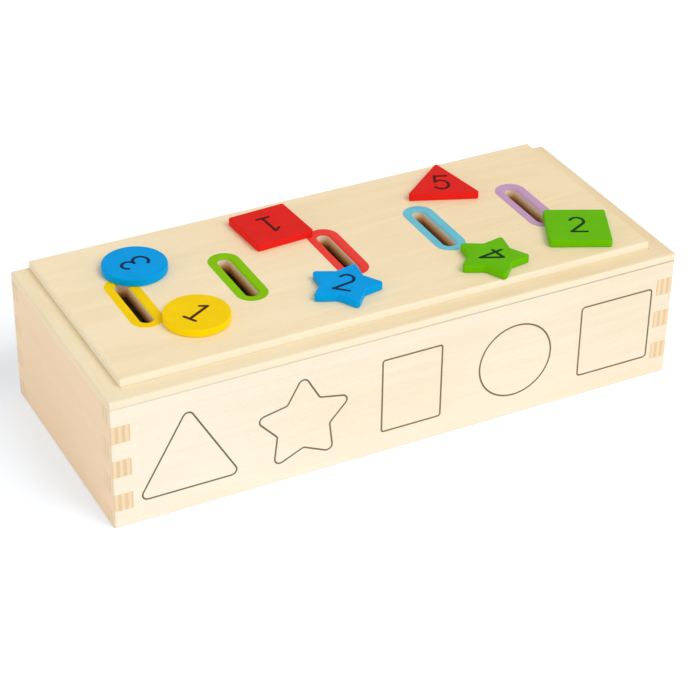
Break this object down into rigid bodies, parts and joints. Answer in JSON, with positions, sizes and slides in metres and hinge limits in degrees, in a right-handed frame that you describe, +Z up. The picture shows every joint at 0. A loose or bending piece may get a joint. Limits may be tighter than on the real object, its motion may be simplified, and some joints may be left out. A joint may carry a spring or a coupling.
{
  "type": "shape sorter box",
  "caption": "Wooden shape sorter box: finger-jointed walls round divided bays, a slotted lid that slides out to the back, and flat numbered shape tokens.",
  "frame": {"origin": "centre of the box's underside, on the surface that it stands on", "axes": "+X along the box's length, +Y from the outlined front to the back, +Z up"},
  "size_m": [0.375, 0.1564, 0.0962],
  "materials": {
    "face_veneer": "sanded, satin clear lacquer",
    "inner_veneer": "sanded plywood, bare",
    "yellow_paint": "satin paint on wood",
    "green_paint": "satin paint on wood",
    "red_paint": "satin paint on wood",
    "blue_paint": "satin paint on wood",
    "purple_paint": "satin paint on wood"
  },
  "bodies": {
    "box": {"front_wall": "face_veneer", "back_wall": "face_veneer", "left_wall": "face_veneer", "right_wall": "face_veneer", "front_rail": "face_veneer", "left_rail": "face_veneer", "right_rail": "face_veneer", "floor_panel": "inner_veneer", "divider_1": "inner_veneer", "divider_2": "inner_veneer", "divider_3": "inner_veneer", "divider_4": "inner_veneer"},
    "lid": {"lid_panel": "face_veneer"},
    "triangle_1": {"triangle_token_1": "green_paint"},
    "triangle_2": {"triangle_token_2": "yellow_paint"},
    "triangle_3": {"triangle_token_3": "purple_paint"},
    "triangle_4": {"triangle_token_4": "blue_paint"},
    "triangle_5": {"triangle_token_5": "red_paint"},
    "star_1": {"star_token_1": "purple_paint"},
    "star_2": {"star_token_2": "blue_paint"},
    "star_3": {"star_token_3": "red_paint"},
    "star_4": {"star_token_4": "green_paint"},
    "star_5": {"star_token_5": "yellow_paint"},
    "rectangle_1": {"rectangle_token_1": "blue_paint"},
    "rectangle_2": {"rectangle_token_2": "red_paint"},
    "rectangle_3": {"rectangle_token_3": "green_paint"},
    "rectangle_4": {"rectangle_token_4": "yellow_paint"},
    "rectangle_5": {"rectangle_token_5": "purple_paint"},
    "circle_1": {"circle_token_1": "yellow_paint"},
    "circle_2": {"circle_token_2": "purple_paint"},
    "circle_3": {"circle_token_3": "blue_paint"},
    "circle_4": {"circle_token_4": "red_paint"},
    "circle_5": {"circle_token_5": "green_paint"},
    "square_1": {"square_token_1": "red_paint"},
    "square_2": {"square_token_2": "green_paint"},
    "square_3": {"square_token_3": "yellow_paint"},
    "square_4": {"square_token_4": "purple_paint"},
    "square_5": {"square_token_5": "blue_paint"}
  },
  "joints": [
    {"name": "lid_slide", "type": "slide", "parent": "box", "child": "lid", "axis": [0, 1, 0], "range_m": [0, 0.15]},
    {"name": "circle_1_lift", "type": "slide", "parent": "lid", "child": "circle_1", "axis": [0, 0, 1], "range_m": [0, 0.06]},
    {"name": "circle_3_lift", "type": "slide", "parent": "lid", "child": "circle_3", "axis": [0, 0, 1], "range_m": [0, 0.06]},
    {"name": "square_1_lift", "type": "slide", "parent": "lid", "child": "square_1", "axis": [0, 0, 1], "range_m": [0, 0.06]},
    {"name": "square_2_lift", "type": "slide", "parent": "lid", "child": "square_2", "axis": [0, 0, 1], "range_m": [0, 0.06]},
    {"name": "star_2_lift", "type": "slide", "parent": "lid", "child": "star_2", "axis": [0, 0, 1], "range_m": [0, 0.06]},
    {"name": "star_4_lift", "type": "slide", "parent": "lid", "child": "star_4", "axis": [0, 0, 1], "range_m": [0, 0.06]},
    {"name": "triangle_5_lift", "type": "slide", "parent": "lid", "child": "triangle_5", "axis": [0, 0, 1], "range_m": [0, 0.06]},
    {"name": "triangle_1_lift", "type": "slide", "parent": "box", "child": "triangle_1", "axis": [0, 0, 1], "range_m": [0, 0.06]},
    {"name": "triangle_2_lift", "type": "slide", "parent": "box", "child": "triangle_2", "axis": [0, 0, 1], "range_m": [0, 0.06]},
    {"name": "triangle_3_lift", "type": "slide", "parent": "box", "child": "triangle_3", "axis": [0, 0, 1], "range_m": [0, 0.06]},
    {"name": "triangle_4_lift", "type": "slide", "parent": "box", "child": "triangle_4", "axis": [0, 0, 1], "range_m": [0, 0.028]},
    {"name": "star_1_lift", "type": "slide", "parent": "box", "child": "star_1", "axis": [0, 0, 1], "range_m": [0, 0.06]},
    {"name": "star_3_lift", "type": "slide", "parent": "box", "child": "star_3", "axis": [0, 0, 1], "range_m": [0, 0.06]},
    {"name": "star_5_lift", "type": "slide", "parent": "box", "child": "star_5", "axis": [0, 0, 1], "range_m": [0, 0.06]},
    {"name": "rectangle_1_lift", "type": "slide", "parent": "box", "child": "rectangle_1", "axis": [0, 0, 1], "range_m": [0, 0.06]},
    {"name": "rectangle_2_lift", "type": "slide", "parent": "box", "child": "rectangle_2", "axis": [0, 0, 1], "range_m": [0, 0.06]},
    {"name": "rectangle_3_lift", "type": "slide", "parent": "box", "child": "rectangle_3", "axis": [0, 0, 1], "range_m": [0, 0.06]},
    {"name": "rectangle_4_lift", "type": "slide", "parent": "box", "child": "rectangle_4", "axis": [0, 0, 1], "range_m": [0, 0.06]},
    {"name": "rectangle_5_lift", "type": "slide", "parent": "box", "child": "rectangle_5", "axis": [0, 0, 1], "range_m": [0, 0.035]},
    {"name": "circle_2_lift", "type": "slide", "parent": "box", "child": "circle_2", "axis": [0, 0, 1], "range_m": [0, 0.06]},
    {"name": "circle_4_lift", "type": "slide", "parent": "box", "child": "circle_4", "axis": [0, 0, 1], "range_m": [0, 0.06]},
    {"name": "circle_5_lift", "type": "slide", "parent": "box", "child": "circle_5", "axis": [0, 0, 1], "range_m": [0, 0.06]},
    {"name": "square_3_lift", "type": "slide", "parent": "box", "child": "square_3", "axis": [0, 0, 1], "range_m": [0, 0.06]},
    {"name": "square_4_lift", "type": "slide", "parent": "box", "child": "square_4", "axis": [0, 0, 1], "range_m": [0, 0.06]},
    {"name": "square_5_lift", "type": "slide", "parent": "box", "child": "square_5", "axis": [0, 0, 1], "range_m": [0, 0.06]}
  ]
}
